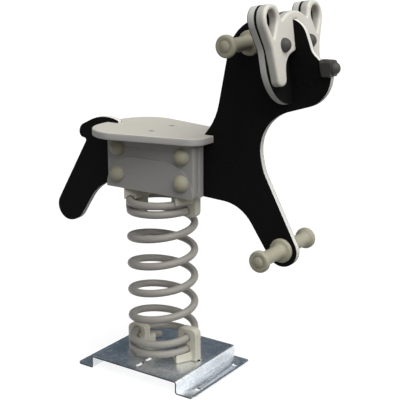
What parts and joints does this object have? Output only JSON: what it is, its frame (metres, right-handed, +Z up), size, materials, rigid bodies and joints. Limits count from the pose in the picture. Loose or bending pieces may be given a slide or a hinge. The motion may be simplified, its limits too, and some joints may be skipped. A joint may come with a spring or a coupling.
{
  "type": "spring rider",
  "caption": "Playground spring rider: a sheet-cut animal with seat, handles and foot pegs that rocks on a coil spring over a bolted base plate.",
  "frame": {"origin": "on the ground under the spring's axis, in the middle of the four anchor holes", "axes": "+X the way the animal faces, +Y its left, +Z up"},
  "size_m": [0.7319, 0.236, 0.8368],
  "materials": {
    "galvanised": "hot-dip galvanised, glossy",
    "clamp_cream": "moulded, matte",
    "steel": "zinc plated",
    "spring_grey": "powder coated, satin",
    "sheet_black": "black skins on a light core, grained",
    "sheet_light": "light grey sheet, grained",
    "sheet_grey": "mid grey sheet, grained",
    "mask_white": "off-white sheet, rounded edges",
    "khaki": "moulded, satin",
    "dark_grey": "moulded, satin"
  },
  "bodies": {
    "base": {"base_plate": "galvanised", "lower_front_clamp": "clamp_cream", "lower_rear_clamp": "clamp_cream", "lower_clamp_bolts": "steel", "lower_clamp_washers": "steel"},
    "coil": {"spring": "spring_grey"},
    "rider": {"upper_front_clamp": "clamp_cream", "upper_rear_clamp": "clamp_cream", "upper_clamp_bolts": "steel", "mount_plate": "steel", "mount_plate_screws": "steel", "box_studs": "steel", "box_nuts": "steel", "seat_screws": "steel", "grip_rods": "steel", "grip_nuts": "steel", "eye_bolts": "steel", "nose_screw": "steel", "head_brackets": "steel", "head_bracket_bolts": "steel", "head_bracket_nuts": "steel", "head_bracket_screws": "steel", "body_panel": "sheet_black", "face_back_plate": "sheet_black", "seat": "sheet_light", "right_inner_plate": "sheet_grey", "left_inner_plate": "sheet_grey", "right_outer_plate": "sheet_grey", "left_outer_plate": "sheet_grey", "right_flap": "sheet_grey", "left_flap": "sheet_grey", "face_mask": "mask_white", "right_stud_caps": "khaki", "left_stud_caps": "khaki", "right_handle": "khaki", "left_handle": "khaki", "right_foot_peg": "khaki", "left_foot_peg": "khaki", "grip_plugs": "khaki", "eyes": "dark_grey", "nose_block": "dark_grey", "nose_ball": "dark_grey"}
  },
  "joints": [
    {"name": "rock", "type": "hinge", "parent": "base", "child": "coil", "pos_m": [0, 0, 0.159], "axis": [0, 1, 0], "range_deg": [-20, 20], "stiffness_Nm_per_rad": 324, "springref_deg": -0.81, "deforming": ["spring"]},
    {"name": "sway", "type": "hinge", "parent": "coil", "child": "rider", "pos_m": [0, 0, 0.295], "axis": [1, 0, 0], "range_deg": [-15, 15], "stiffness_Nm_per_rad": 324, "deforming": ["spring"]}
  ]
}
